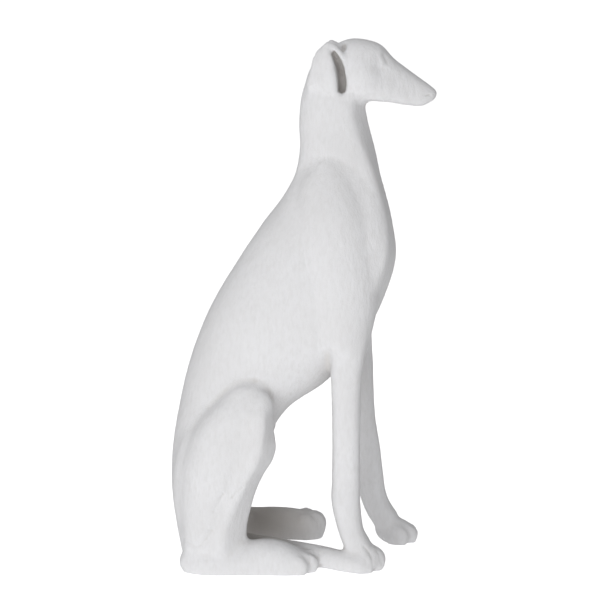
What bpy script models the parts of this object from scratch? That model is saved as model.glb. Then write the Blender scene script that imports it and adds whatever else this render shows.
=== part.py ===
"""Seated greyhound statue, cast in one piece and sitting upright on its own feet.

The dog faces +X, its left side is +Y and +Z is up. The origin is the middle of its footprint.
The figure is built as a modeller would build it: tapered forms and muscle masses are laid over
each other, fused into one skin, softened, then given ears, brows and toes. The openings of the
ears are cut, a few strokes of the tool are pressed in, and the feet are cut off flat.

Points and sizes of the figure are in parts, a hundredth of its height, so the pose and the
carving follow HEIGHT. The widths below are set by themselves.
"""

import math

import bmesh
import bpy
import numpy as np
from mathutils import Matrix, Vector

# Driving dimensions, in metres
HEIGHT = 0.800
CHEST_WIDTH = 0.156
HIP_WIDTH = 0.134
NECK_WIDTH = 0.076
SKULL_WIDTH = 0.078
FORELEG_WIDTH = 0.039
THIGH_WIDTH = 0.078
HIND_FOOT_WIDTH = 0.052
PAW_WIDTH = 0.050
TAIL_DIAMETER = 0.034
EAR_THICKNESS = 0.011
FORELEG_GAP = 0.110
HIND_LEG_GAP = 0.154
LEFT_PAW_OUTWARD = 0.026
LEFT_FOOT_OUTWARD = 0.017

# How finely the skin is made, and how many triangles the finished solid may have
FORM_VOXEL = 0.0040
DETAIL_VOXEL = 0.0030
FORM_SOFTENING = 8
DETAIL_SOFTENING = 3
CUT_SOFTENING = 2
SOLID_TRIANGLES = 9600

PART = HEIGHT / 100
RIGHT, LEFT = -1, 1

COAT_COLOUR = (0.80, 0.80, 0.81, 1.0)
COAT_ROUGHNESS = 0.85


def smooth_rows(rows, per_span):
    """Rows read off a smooth curve through the given ones; the first three columns set its pace."""
    rows = np.array(rows, float)
    steps = np.linalg.norm(np.diff(rows[:, :3], axis=0), axis=1)
    knots = np.concatenate([[0.0], np.cumsum(steps)])
    slopes = np.gradient(rows, knots, axis=0)
    made = []
    for i, step in enumerate(steps):
        for t in np.arange(per_span) / per_span:
            rise, fall = t * t * (3 - 2 * t), 1 - t * t * (3 - 2 * t)
            lead, trail = t * (1 - t) ** 2 * step, -t * t * (1 - t) * step
            made.append(fall * rows[i] + rise * rows[i + 1] + lead * slopes[i] + trail * slopes[i + 1])
    made.append(rows[-1])
    return np.array(made)


def ring_of(centre, depth, width, lean=0.0, squareness=(2.0, 2.0), count=32, keel=0.0):
    """Points round an oval spanned by two half vectors.

    Lean widens it towards the depth end. The squareness is that of the half away from the depth
    end, then of the half at it. Keel is how far its flanks fall back from the depth end's middle.
    """
    turn = 2 * math.pi * np.arange(count) / count
    power = 2 / np.where(np.cos(turn) > 0, squareness[1], squareness[0])
    along = np.sign(np.cos(turn)) * np.abs(np.cos(turn)) ** power
    across = np.sign(np.sin(turn)) * np.abs(np.sin(turn)) ** power
    along = np.minimum(along, 1 - keel * np.abs(across))
    across = across * (1 + lean * along)
    return centre + np.outer(along, depth) + np.outer(across, width)


def add_skin(clay, rings, caps):
    """Adds one closed tapered form to the clay: rings bridged in order, with domed ends."""
    rings = [np.array(r, float) for r in rings]
    centres = [r.mean(axis=0) for r in rings]
    for end, cap in ((0, caps[0]), (-1, caps[1])):
        inner = 1 if end == 0 else -2
        outward = centres[end] - centres[inner]
        outward /= np.linalg.norm(outward)
        dome = []
        for angle in (math.radians(a) for a in (25, 50, 72, 86)):
            shrunk = centres[end] + (rings[end] - centres[end]) * math.cos(angle)
            dome.append(shrunk + outward * cap * math.sin(angle))
        rings = dome[::-1] + rings if end == 0 else rings + dome
        centres = [r.mean(axis=0) for r in rings]
    loops = [[clay.verts.new(p) for p in ring] for ring in rings]
    count = len(loops[0])
    for low, high in zip(loops, loops[1:]):
        for i in range(count):
            j = (i + 1) % count
            clay.faces.new((low[i], low[j], high[j], high[i]))
    clay.faces.new(loops[0][::-1])
    clay.faces.new(loops[-1])


def add_profile_form(clay, stations, full_width, caps, back=None, keels=None, per_span=4):
    """A form given by its side outline.

    Each station is (x, z) of one edge, (x, z) of the other, the middle's y, the width as a share
    of full_width, the lean of the oval and its squareness. All but the share are in parts. back is
    the squareness towards the first edge where it differs, and keels are those of the other edge.
    """
    rows = []
    for (a, b, y, share, lean, square), keel in zip(stations, keels or [0.0] * len(stations)):
        middle, half = ((a[0] + b[0]) / 2, y, (a[1] + b[1]) / 2), ((b[0] - a[0]) / 2, (b[1] - a[1]) / 2)
        rows.append((*middle, *half, share, lean, square, keel))
    rings = []
    for x, y, z, dx, dz, share, lean, square, keel in smooth_rows(rows, per_span):
        centre = np.array([x, y, z]) * PART
        depth = np.array([dx, 0.0, dz]) * PART
        width = np.array([0.0, share * full_width / 2, 0.0])
        rings.append(ring_of(centre, depth, width, lean, (back or square, square), keel=keel))
    add_skin(clay, rings, [c * PART for c in caps])


def add_limb(clay, stations, caps, side=LEFT, side_shift=0.0, per_span=4, squareness=2.2):
    """A form round a path. Each station is x, y, z, half depth and half width, in parts."""
    rows = smooth_rows(stations, per_span) * PART
    rows[:, 1] = side * (rows[:, 1] + side_shift)
    tangents = np.gradient(rows[:, :3], axis=0)
    rings = []
    for row, tangent in zip(rows, tangents):
        along = Vector(tangent).normalized()
        width = Vector((0.0, 1.0, 0.0))
        width = (width - along * width.dot(along)).normalized()
        depth = width.cross(along)
        across = np.array(width) * row[4]
        rings.append(ring_of(row[:3], np.array(depth) * row[3], across, 0.0, (squareness, squareness)))
    add_skin(clay, rings, [c * PART for c in caps])


def add_mass(clay, centre, radii, turns=(0.0, 0.0, 0.0), side=LEFT, segments=24):
    """An egg-shaped mass. Centre and radii are in parts, and turns are degrees about X, Y and Z."""
    turned = Matrix.Identity(4)
    for axis, degrees in zip("XYZ", turns):
        turned = Matrix.Rotation(math.radians(degrees), 4, axis) @ turned
    place = Matrix.Translation(Vector(centre) * PART) @ turned @ Matrix.Diagonal((*radii, 1.0 / PART)) * PART
    place[3][3] = 1.0
    if side == RIGHT:
        place = Matrix.Scale(-1, 4, (0, 1, 0)) @ place
    made = bmesh.ops.create_uvsphere(
        clay, u_segments=segments, v_segments=segments // 2, radius=1.0, matrix=place
    )
    if side == RIGHT:
        faces = {face for vert in made["verts"] for face in vert.link_faces}
        bmesh.ops.reverse_faces(clay, faces=list(faces))


def add_trunk(clay):
    """Rump, belly, rib cage, chest and neck as one form, from the floor up to the head.

    Its breast and throat have a flat front with a slight keel, and its back is round.
    """
    waist = HIP_WIDTH / CHEST_WIDTH
    neck = NECK_WIDTH / CHEST_WIDTH
    stations = [
        ((-23.3, 0.5), (-12.4, 0.5), 0, 0.95 * waist, 0.0, 2.2),
        ((-24.5, 8.0), (-11.6, 8.4), 0, 1.10 * waist, -0.12, 2.2),
        ((-25.1, 16.0), (-9.4, 16.4), 0, 1.16 * waist, -0.26, 2.2),
        ((-24.7, 23.0), (-6.4, 23.6), 0, 1.12 * waist, -0.28, 2.2),
        ((-23.3, 31.3), (-2.0, 30.1), 0, 1.02 * waist, -0.22, 2.2),
        ((-21.4, 39.0), (4.6, 34.8), 0, 0.92, -0.12, 2.2),
        ((-17.8, 48.4), (10.4, 41.5), 0, 1.00, -0.06, 2.4),
        ((-12.3, 57.9), (15.8, 51.2), 0, 0.98, -0.06, 3.0),
        ((-7.1, 65.7), (18.1, 60.6), 0, 0.84, -0.04, 3.6),
        ((-3.5, 70.5), (16.9, 67.4), 0, 0.70, -0.02, 4.0),
        ((-1.1, 75.0), (15.2, 74.0), 0, 1.12 * neck, 0.0, 4.0),
        ((-0.3, 79.5), (14.1, 79.4), 0, 1.00 * neck, 0.0, 4.0),
        ((-0.4, 84.2), (12.9, 84.0), 0, 0.96 * neck, 0.0, 4.0),
        ((-0.1, 88.6), (12.2, 87.4), 0, 0.98 * neck, 0.0, 3.6),
        ((1.2, 93.4), (11.6, 90.4), 0, 0.98 * neck, 0.0, 2.6),
    ]
    keels = [0, 0, 0, 0, 0, 0, 0.06, 0.18, 0.16, 0.10, 0.14, 0.30, 0.42, 0.40, 0.20]
    add_profile_form(clay, stations, CHEST_WIDTH, (2.0, 3.5), 2.1, keels)


def add_head(clay):
    """Skull and the long muzzle, given by top and bottom lines."""
    stations = [
        ((6.0, 98.8), (7.6, 88.8), 0, 0.90, 0.02, 2.4),
        ((9.2, 100.0), (10.6, 88.3), 0, 1.00, 0.05, 2.9),
        ((12.4, 99.75), (12.9, 88.5), 0, 0.96, 0.06, 3.3),
        ((14.9, 98.8), (14.9, 88.4), 0, 0.85, 0.08, 3.6),
        ((17.0, 96.5), (16.9, 88.3), 0, 0.72, 0.10, 3.6),
        ((19.1, 94.9), (18.6, 87.9), 0, 0.62, 0.10, 3.6),
        ((21.3, 93.3), (20.6, 87.7), 0, 0.51, 0.08, 3.4),
        ((23.5, 91.8), (22.4, 87.5), 0, 0.42, 0.05, 3.0),
        ((25.3, 90.5), (23.8, 88.2), 0, 0.32, 0.0, 2.4),
    ]
    add_profile_form(clay, stations, SKULL_WIDTH, (1.5, 0.6))


def add_shoulder(clay, side):
    """Shoulder blade and upper arm, whose top edge makes the crease round the neck."""
    stations = [
        ((3.4, 44.0), (12.9, 42.0), 5.0, 0.50, 0.0, 2.1),
        ((1.2, 50.0), (14.3, 48.0), 4.6, 0.58, 0.0, 2.1),
        ((-0.6, 58.0), (15.2, 55.5), 4.0, 0.64, 0.0, 2.1),
        ((-1.2, 65.5), (14.6, 62.5), 3.4, 0.64, 0.0, 2.1),
        ((-0.4, 71.5), (13.4, 68.5), 2.9, 0.56, 0.0, 2.1),
        ((0.6, 75.0), (11.8, 72.6), 2.5, 0.45, 0.0, 2.1),
        ((2.2, 77.6), (9.6, 76.0), 2.2, 0.34, 0.0, 2.1),
    ]
    stations = [(a, b, side * y, share * 0.98, lean, square) for a, b, y, share, lean, square in stations]
    add_profile_form(clay, stations, CHEST_WIDTH, (2.0, 2.2))


def add_foreleg(clay, side):
    """Foreleg from the shoulder to the pastern. The left one steps forward and outward."""
    half = FORELEG_WIDTH / 2 / PART
    apart = FORELEG_GAP / 2
    if side == RIGHT:
        path = [
            (9.4, -1.3, 53.0, 4.9, 1.05), (9.5, -0.6, 45.0, 3.7, 1.10), (9.1, -0.1, 38.0, 3.0, 1.06),
            (9.15, 0.0, 30.0, 2.75, 1.0), (9.15, 0.0, 23.0, 2.7, 0.95), (9.15, 0.0, 17.0, 2.75, 0.98),
            (9.15, 0.0, 13.4, 2.8, 1.06), (9.6, 0.0, 10.0, 2.6, 1.0), (10.35, 0.0, 6.9, 2.4, 1.0),
            (11.7, 0.0, 4.0, 2.6, 1.1),
        ]
    else:
        path = [
            (8.9, -1.3, 53.0, 4.7, 1.05), (9.6, -0.6, 45.0, 3.6, 1.10), (10.5, -0.1, 37.5, 3.0, 1.06),
            (11.0, 0.3, 31.0, 2.7, 1.0), (11.5, 1.1, 25.0, 2.65, 0.95), (12.4, 1.9, 19.0, 2.65, 0.98),
            (12.9, 2.6, 13.6, 2.75, 1.06), (13.5, 3.1, 9.8, 2.65, 1.0), (14.6, 3.25, 6.8, 2.6, 1.0),
            (16.4, 3.25, 4.0, 2.6, 1.1),
        ]
    reach = LEFT_PAW_OUTWARD / PART / 3.25
    stations = [(x, y * (reach if y > 0 else 1), z, deep, wide * half) for x, y, z, deep, wide in path]
    add_limb(clay, stations, (2.0, 1.5), side, apart, squareness=2.6)
    add_mass(clay, (path[2][0] - 1.2, apart / PART, 39.5), (1.9, 1.8, 3.0), (0, 10, 0), side)


def add_hind_leg(clay, side):
    """Thigh, knee and heel as one folded limb, with the ham behind it."""
    apart = HIND_LEG_GAP / 2 / PART
    limb = [
        ((-21.6, 2.2), (-14.0, 2.6), apart, 0.72, 0.0, 2.1),
        ((-21.9, 7.5), (-12.9, 8.4), apart, 0.84, 0.0, 2.1),
        ((-22.2, 14.0), (-10.6, 14.4), apart - 0.2, 1.0, 0.0, 2.1),
        ((-21.8, 20.4), (-7.7, 20.6), apart - 0.5, 1.08, 0.0, 2.1),
        ((-20.0, 26.2), (-5.9, 26.4), apart - 0.8, 1.04, 0.0, 2.1),
        ((-16.6, 31.4), (-4.9, 31.2), apart - 1.1, 0.90, 0.0, 2.1),
        ((-13.2, 34.8), (-6.2, 34.7), apart - 1.4, 0.66, 0.0, 2.1),
    ]
    limb = [(a, b, side * y, share, lean, square) for a, b, y, share, lean, square in limb]
    add_profile_form(clay, limb, THIGH_WIDTH, (1.2, 2.0))
    add_mass(clay, (-7.6, apart + 0.2, 31.0), (3.0, 3.1, 4.4), (0, 24, 0), side)
    add_mass(clay, (-18.2, apart - 2.6, 17.0), (5.8, 5.2, 13.0), (5, 3, 0), side)


def add_shin(clay, side):
    """Shin in front of the thigh, whose front is a blunt keel. The left one's front is set back.

    Each row is the front line's x and z, how far it falls back at the flanks, its half depth and
    its width as a share of the thigh's.
    """
    apart = HIND_LEG_GAP / 2 / PART - 0.2
    set_back = 1.9 if side == LEFT else 0.0
    rows = [
        (-4.5, 31.2, 1.0, 3.8, 0.76), (-4.1, 27.2, 1.8, 4.4, 0.88), (-3.6, 24.2, 2.8, 4.8, 0.92),
        (-4.2, 21.8, 3.0, 4.9, 0.92), (-5.8, 19.2, 2.8, 4.9, 0.90), (-7.4, 15.8, 2.8, 4.9, 0.88),
        (-8.3, 12.6, 3.4, 5.0, 0.87), (-9.0, 9.5, 3.9, 5.2, 0.85), (-9.3, 6.0, 4.2, 5.2, 0.84),
        (-9.4, 2.5, 4.2, 5.0, 0.84),
    ]
    stations = []
    for x, z, _, deep, share in rows:
        stations.append(((x - 2 * deep, z + 0.6), (x - set_back, z), side * apart, share, 0.10, 4.0))
    keels = [fall / (deep - set_back / 2) for _, _, fall, deep, _ in rows]
    add_profile_form(clay, stations, THIGH_WIDTH, (1.0, 1.5), 2.4, keels)


def add_hind_foot(clay, side):
    """The long foot that lies flat on the floor, from the heel to the toe joints.

    The left one is carved blunter, without the slope to the toes.
    """
    apart = HIND_LEG_GAP / 2 + (LEFT_FOOT_OUTWARD if side == LEFT else 0.0)
    half = HIND_FOOT_WIDTH / 2 / PART
    blunt = 1.0 if side == LEFT else 0.0
    stations = [
        (-21.0, 0.9, 2.5, 2.2, 0.70 * half), (-19.7, 0.9, 1.8, 3.2, 0.86 * half),
        (-17.0, 1.0, 1.4, 3.8, 0.98 * half),
        (-11.0, 0.6, 1.5, 3.9, 0.95 * half), (-5.5, 0.1, 1.9, 4.3 - 0.4 * blunt, 1.0 * half),
        (-1.2, -0.4, 1.3 + 0.3 * blunt, 3.8 + 0.1 * blunt, (1.05 - 0.10 * blunt) * half),
        (0.8 + 0.6 * blunt, -0.6, 1.4 + 0.5 * blunt, 2.9 + 0.6 * blunt, (0.95 - 0.12 * blunt) * half),
    ]
    add_limb(clay, stations, (1.2, 1.2 + 1.2 * blunt), side, apart)


def add_toes(clay, ball, length, spread, height, side, plumpness=0.62):
    """Four toes fanned from the ball of a foot. Its middle pair stands further forward."""
    for place, back in ((-1.5, 0.70), (-0.5, 0.0), (0.5, 0.0), (1.5, 0.70)):
        x = ball[0] - back
        y = ball[1] + place * spread
        add_mass(clay, (x, y, ball[2]), (length, plumpness * spread, height), (0, 12, place * 7), side, 16)


def add_paws(clay):
    """Toes of all four feet."""
    toe_step = PAW_WIDTH / 4 / PART
    near, far = FORELEG_GAP / 2 / PART, (FORELEG_GAP / 2 + LEFT_PAW_OUTWARD) / PART
    add_mass(clay, (13.0, near, 2.2), (3.9, 0.44 * PAW_WIDTH / PART, 2.7), (0, 8, 0), RIGHT)
    add_toes(clay, (14.3, near, 1.5), 2.55, toe_step, 2.4, RIGHT)
    add_mass(clay, (17.9, far, 2.0), (4.0, 0.44 * PAW_WIDTH / PART, 2.8), (0, 10, 0), LEFT)
    add_toes(clay, (20.2, far, 1.4), 2.55, toe_step, 2.3, LEFT)
    hind = HIND_LEG_GAP / 2 / PART
    toe_step = HIND_FOOT_WIDTH / 4 / PART
    add_toes(clay, (1.7, hind - 0.7, 1.5), 2.7, toe_step, 2.3, RIGHT, 0.70)
    add_toes(clay, (1.5, hind + LEFT_FOOT_OUTWARD / PART - 0.2, 2.2), 2.7, 0.92 * toe_step, 3.1, LEFT, 0.80)


def add_tail(clay):
    """Tail that comes forward on the floor between the hind feet to the right forepaw."""
    radius = TAIL_DIAMETER / 2 / PART
    stations = [
        (-21.0, 0.0, 2.8, 1.3 * radius, 1.3 * radius), (-14.0, 0.2, 2.2, 1.1 * radius, 1.1 * radius),
        (-6.0, 1.6, 1.8, radius, radius), (0.0, 4.2, 1.8, radius, radius),
        (5.0, 6.9, 1.95, radius, 0.95 * radius), (9.4, 8.7, 1.7, 0.92 * radius, 0.92 * radius),
        (12.2, 9.4, 1.3, 0.8 * radius, 0.8 * radius),
    ]
    add_limb(clay, stations, (1.0, 1.4), RIGHT)


def add_ear(clay, side):
    """Folded ear: a leaf that stands against the nape, and the rim that ties it to the skull."""
    thick = EAR_THICKNESS / 2 / PART
    leaf = []
    for front, back, z, share in (
        ((5.5, 4.5), (4.5, 4.0), 99.1, 0.80), ((5.9, 5.1), (3.2, 3.7), 98.0, 0.95),
        ((6.4, 5.5), (2.2, 3.5), 96.3, 1.0), ((6.9, 5.7), (1.7, 3.4), 94.0, 1.0),
        ((7.2, 5.6), (1.1, 3.3), 92.0, 1.0), ((6.8, 4.5), (1.6, 2.9), 89.6, 0.9),
    ):
        start, end = Vector((*front, z)), Vector((*back, z))
        depth = (start - end) / 2
        sideways = depth.cross(Vector((0, 0, 1))).normalized() * thick * share
        ring = ring_of(np.array((start + end) / 2), np.array(depth), np.array(sideways), 0.1, (2.4, 2.4), 24)
        leaf.append(ring * (1, side, 1) * PART)
    if side == RIGHT:
        leaf = [ring[::-1] for ring in leaf]
    add_skin(clay, leaf, (0.7 * PART, 1.2 * PART))
    rim = [(5.0, 4.2, 99.2, 0.6, 0.6), (6.3, 4.5, 98.6, 0.6, 0.7), (7.8, 4.5, 97.0, 0.6, 0.7)]
    add_limb(clay, rim, (0.5, 0.6), side)
    add_mass(clay, (6.1, 3.3, 96.4), (1.7, 1.3, 2.2), (0, 0, 20), side)


def add_ear_opening(clay, side):
    """What is cut out at an ear: a slot that widens downward, and the notch over the rim."""
    slot = [
        (5.9, 5.4, 98.2, 0.35, 1.8), (6.9, 5.3, 96.3, 0.60, 2.8), (7.5, 5.2, 94.7, 0.75, 3.2),
        (7.8, 5.2, 93.1, 0.80, 3.3), (7.9, 5.2, 91.6, 0.76, 3.3), (7.7, 5.2, 90.5, 0.65, 3.0),
    ]
    add_limb(clay, slot, (0.4, 0.2), side, squareness=3.0)
    notch = [(7.6, 3.6, 99.9, 0.85, 1.9), (7.9, 4.2, 98.9, 0.65, 1.6), (8.2, 4.8, 97.8, 0.25, 1.0)]
    add_limb(clay, notch, (0.6, 0.3), side, squareness=2.4)


def add_cheek(clay, side):
    """Cheek behind the jaw."""
    add_mass(clay, (11.6, 2.5, 93.4), (3.7, 2.9, 4.6), (0, -8, 0), side)


def add_brow(clay, side):
    """Brow above the eye, at the stop."""
    add_mass(clay, (14.9, 2.9, 96.8), (1.1, 0.75, 0.5), (0, 60, -12), side, 16)


def press(mesh, strokes):
    """Presses grooves into a mesh: each stroke is its points, half width and depth, in parts."""
    count = len(mesh.vertices)
    places, normals = np.empty(count * 3), np.empty(count * 3)
    mesh.vertices.foreach_get("co", places)
    mesh.vertices.foreach_get("normal", normals)
    places, normals = places.reshape(-1, 3), normals.reshape(-1, 3)
    for points, half_width, depth in strokes:
        path = smooth_rows(points, 8) * PART
        nearest = np.full(count, np.inf)
        for point in path:
            nearest = np.minimum(nearest, np.linalg.norm(places - point, axis=1))
        pushed = depth * PART * np.exp(-((nearest / (half_width * PART)) ** 2))
        places = places - normals * pushed[:, None]
    mesh.vertices.foreach_set("co", places.ravel())
    mesh.update()


def groove_strokes():
    """Hollows beside and below the brows and the sinews above the heels, for both sides."""
    strokes = []
    heel = HIND_LEG_GAP / 2 / PART + THIGH_WIDTH * 0.46 / PART
    for side in (RIGHT, LEFT):
        strokes += [
            ([(15.5, side * 2.8, 97.2), (16.1, side * 2.8, 95.9)], 0.5, 0.3),
            ([(14.4, side * 3.4, 95.0), (15.2, side * 3.2, 94.7)], 0.7, 0.25),
            ([(-11.4, side * heel, 14.2), (-12.2, side * heel, 13.0)], 0.45, 0.25),
            ([(-14.6, side * heel, 13.4), (-15.8, side * heel, 11.2)], 0.5, 0.25),
        ]
    return strokes


def applied(worked):
    """The object's mesh with its modifiers applied. The object and its own mesh are removed."""
    graph = bpy.context.evaluated_depsgraph_get()
    made = bpy.data.meshes.new_from_object(worked.evaluated_get(graph))
    old = worked.data
    bpy.data.objects.remove(worked)
    bpy.data.meshes.remove(old)
    return made


def placed(name, clay):
    """The clay as an object at the origin. The clay is used up."""
    raw = bpy.data.meshes.new(name)
    clay.to_mesh(raw)
    clay.free()
    thing = bpy.data.objects.new(name, raw)
    bpy.context.scene.collection.objects.link(thing)
    return thing


def fuse(name, clay, voxel, softening):
    """Fuses the clay's overlapping forms into one skin and softens it. Returns a mesh."""
    worked = placed(name, clay)
    remesh = worked.modifiers.new("Fuse", "REMESH")
    remesh.mode = "VOXEL"
    remesh.voxel_size = voxel
    soften = worked.modifiers.new("Soften", "SMOOTH")
    soften.factor = 0.5
    soften.iterations = softening
    return applied(worked)


def cut_out(mesh, cutter_clay):
    """The mesh with the cutter's forms taken out of it. Both are used up."""
    cutter = placed("cutter", cutter_clay)
    skin = bmesh.new()
    skin.from_mesh(mesh)
    bpy.data.meshes.remove(mesh)
    worked = placed("skin", skin)
    cut = worked.modifiers.new("Cut", "BOOLEAN")
    cut.operation = "DIFFERENCE"
    cut.solver = "EXACT"
    cut.object = cutter
    made = applied(worked)
    shape = cutter.data
    bpy.data.objects.remove(cutter)
    bpy.data.meshes.remove(shape)
    return made


def thin_out(mesh, triangles):
    """The same skin with about this many triangles, most of them where it curves."""
    worked = bpy.data.objects.new("thinned", mesh)
    bpy.context.scene.collection.objects.link(worked)
    mesh.calc_loop_triangles()
    thin = worked.modifiers.new("Thin", "DECIMATE")
    thin.ratio = triangles / len(mesh.loop_triangles)
    graph = bpy.context.evaluated_depsgraph_get()
    made = bpy.data.meshes.new_from_object(worked.evaluated_get(graph))
    bpy.data.objects.remove(worked)
    return made


def cut_off_below_floor(mesh):
    """Cuts the mesh flat at the floor, closes the soles, and centres the footprint's box."""
    work = bmesh.new()
    work.from_mesh(mesh)
    everything = list(work.verts) + list(work.edges) + list(work.faces)
    cut = bmesh.ops.bisect_plane(
        work, geom=everything, plane_co=(0, 0, 0), plane_no=(0, 0, 1), clear_inner=True
    )
    rim = [item for item in cut["geom_cut"] if isinstance(item, bmesh.types.BMEdge)]
    bmesh.ops.holes_fill(work, edges=rim)
    bmesh.ops.triangulate(work, faces=work.faces)
    corners = np.array([vert.co for vert in work.verts])
    middle = (corners.min(axis=0) + corners.max(axis=0)) / 2
    bmesh.ops.translate(work, verts=work.verts, vec=(-middle[0], -middle[1], 0.0))
    work.to_mesh(mesh)
    work.free()


def coat_material():
    """The matt white coat of the casting."""
    material = bpy.data.materials.new("white_cast")
    material.use_nodes = True
    shader = material.node_tree.nodes["Principled BSDF"]
    shader.inputs["Base Color"].default_value = COAT_COLOUR
    shader.inputs["Roughness"].default_value = COAT_ROUGHNESS
    shader.inputs["Metallic"].default_value = 0.0
    return material


def model_forms():
    """The figure's main forms, fused and softened."""
    clay = bmesh.new()
    add_trunk(clay)
    add_head(clay)
    for side in (RIGHT, LEFT):
        add_cheek(clay, side)
        add_shoulder(clay, side)
        add_foreleg(clay, side)
        add_hind_leg(clay, side)
        add_shin(clay, side)
        add_hind_foot(clay, side)
    return fuse("forms", clay, FORM_VOXEL, FORM_SOFTENING)


def model_details(forms):
    """The forms with ears, brows, toes and tail added, the ears opened and the grooves pressed."""
    clay = bmesh.new()
    clay.from_mesh(forms)
    for side in (RIGHT, LEFT):
        add_ear(clay, side)
        add_brow(clay, side)
    add_paws(clay)
    add_tail(clay)
    skin = fuse("skin", clay, DETAIL_VOXEL, DETAIL_SOFTENING)
    openings = bmesh.new()
    for side in (RIGHT, LEFT):
        add_ear_opening(openings, side)
    opened = bmesh.new()
    opened.from_mesh(cut_out(skin, openings))
    skin = fuse("skin", opened, DETAIL_VOXEL, CUT_SOFTENING)
    press(skin, groove_strokes())
    return skin


def main():
    """Builds the statue as one object."""
    for left_over in list(bpy.data.objects):
        bpy.data.objects.remove(left_over)
    statue = thin_out(model_details(model_forms()), SOLID_TRIANGLES)
    cut_off_below_floor(statue)
    statue.name = "greyhound"
    statue.shade_smooth()
    statue.materials.clear()
    statue.materials.append(coat_material())
    bpy.context.scene.collection.objects.link(bpy.data.objects.new("greyhound", statue))


if __name__ == "__main__":
    main()
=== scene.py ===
"""Looks of the seated greyhound statue: a matt white casting with a hand-modelled, gritty skin.

The figure is built up as a sculptor would: tapered forms and muscle masses are fused into one
skin, the ears, brows, toes and tail are added, and a modelling tool draws the creases, the hollows
by the eyes, the lips and nostrils and the gaps between the toes. Points are in parts, a hundredth
of the statue's height. The dog faces +X, its left side is +Y and +Z is up.
"""

from __future__ import annotations

import logging
import math
from dataclasses import dataclass, field, replace
from enum import Enum

import bmesh
import bpy
import numpy as np
from mathutils import Matrix, Vector

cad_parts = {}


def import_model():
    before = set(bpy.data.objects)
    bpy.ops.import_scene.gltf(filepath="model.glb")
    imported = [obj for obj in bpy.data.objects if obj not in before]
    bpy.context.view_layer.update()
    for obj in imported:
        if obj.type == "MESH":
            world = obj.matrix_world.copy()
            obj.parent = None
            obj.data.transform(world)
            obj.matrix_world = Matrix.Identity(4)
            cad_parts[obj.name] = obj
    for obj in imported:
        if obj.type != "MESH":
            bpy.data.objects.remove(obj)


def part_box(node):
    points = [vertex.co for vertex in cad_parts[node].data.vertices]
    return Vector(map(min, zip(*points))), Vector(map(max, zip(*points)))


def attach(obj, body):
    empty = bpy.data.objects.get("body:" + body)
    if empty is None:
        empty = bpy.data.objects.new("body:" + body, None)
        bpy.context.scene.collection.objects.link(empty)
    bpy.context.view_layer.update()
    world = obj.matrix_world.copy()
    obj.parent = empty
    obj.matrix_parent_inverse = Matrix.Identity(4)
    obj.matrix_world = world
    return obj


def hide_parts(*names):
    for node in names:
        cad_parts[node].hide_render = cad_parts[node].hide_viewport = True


HEIGHT = 0.800
PART = HEIGHT / 100
DOME_DEGREES = (20, 40, 58, 74, 86)
WHITE = (1.0, 1.0, 1.0, 1.0)

log = logging.getLogger("greyhound")

Socket = bpy.types.NodeSocket
Feeds = dict[str | int, object]
Point = tuple[float, float]
Triple = tuple[float, float, float]
Station = tuple[Point, Point, float, float, float, float]
Rows = list[tuple[float, ...]]


class Side(Enum):
    """A side of the dog, whose value is the sign of its y."""

    RIGHT = -1
    LEFT = 1


def smooth_rows(rows: Rows | np.ndarray, per_span: int) -> np.ndarray:
    """Reads more rows off a smooth curve through the given ones.

    Args:
        rows: The given rows. The first columns, up to three, set the curve's pace.
        per_span: How many rows each span becomes.

    Returns:
        The denser rows, ending with the last one given.
    """
    rows = np.array(rows, float)
    steps = np.linalg.norm(np.diff(rows[:, :3], axis=0), axis=1)
    knots = np.concatenate([[0.0], np.cumsum(steps)])
    slopes = np.gradient(rows, knots, axis=0)
    made = []
    for i, step in enumerate(steps):
        for t in np.arange(per_span) / per_span:
            rise, fall = t * t * (3 - 2 * t), 1 - t * t * (3 - 2 * t)
            lead, trail = t * (1 - t) ** 2 * step, -t * t * (1 - t) * step
            made.append(fall * rows[i] + rise * rows[i + 1] + lead * slopes[i] + trail * slopes[i + 1])
    made.append(rows[-1])
    return np.array(made)


def oval(
    centre: np.ndarray,
    depth: np.ndarray,
    width: np.ndarray,
    lean: float = 0.0,
    squareness: tuple[float, float] = (2.0, 2.0),
    count: int = 40,
    keel: float = 0.0,
) -> np.ndarray:
    """Points round an oval.

    Args:
        centre: Its middle.
        depth: Half vector along its first axis.
        width: Half vector along its second axis.
        lean: How much wider it is towards the depth end.
        squareness: That of the half away from the depth end, then of the half at it. 2 is an
            ellipse, and more is boxier.
        count: How many points it has.
        keel: How far its flanks fall back from the depth end's middle, as a share of the depth.

    Returns:
        The points, one a row.
    """
    turn = 2 * math.pi * np.arange(count) / count
    power = 2 / np.where(np.cos(turn) > 0, squareness[1], squareness[0])
    along = np.sign(np.cos(turn)) * np.abs(np.cos(turn)) ** power
    across = np.sign(np.sin(turn)) * np.abs(np.sin(turn)) ** power
    along = np.minimum(along, 1 - keel * np.abs(across))
    across = across * (1 + lean * along)
    return centre + np.outer(along, depth) + np.outer(across, width)


def applied(thing: bpy.types.Object) -> bpy.types.Mesh:
    """Applies an object's modifiers.

    Args:
        thing: The object, which is removed.

    Returns:
        Its mesh as its modifiers leave it.
    """
    graph = bpy.context.evaluated_depsgraph_get()
    made = bpy.data.meshes.new_from_object(thing.evaluated_get(graph))
    old = thing.data
    bpy.data.objects.remove(thing)
    bpy.data.meshes.remove(old)
    return made


def placed(name: str, mesh: bpy.types.Mesh) -> bpy.types.Object:
    """Puts a mesh in the scene at the origin.

    Args:
        name: The new object's name.
        mesh: Its mesh.

    Returns:
        The new object.
    """
    thing = bpy.data.objects.new(name, mesh)
    bpy.context.scene.collection.objects.link(thing)
    return thing


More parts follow.
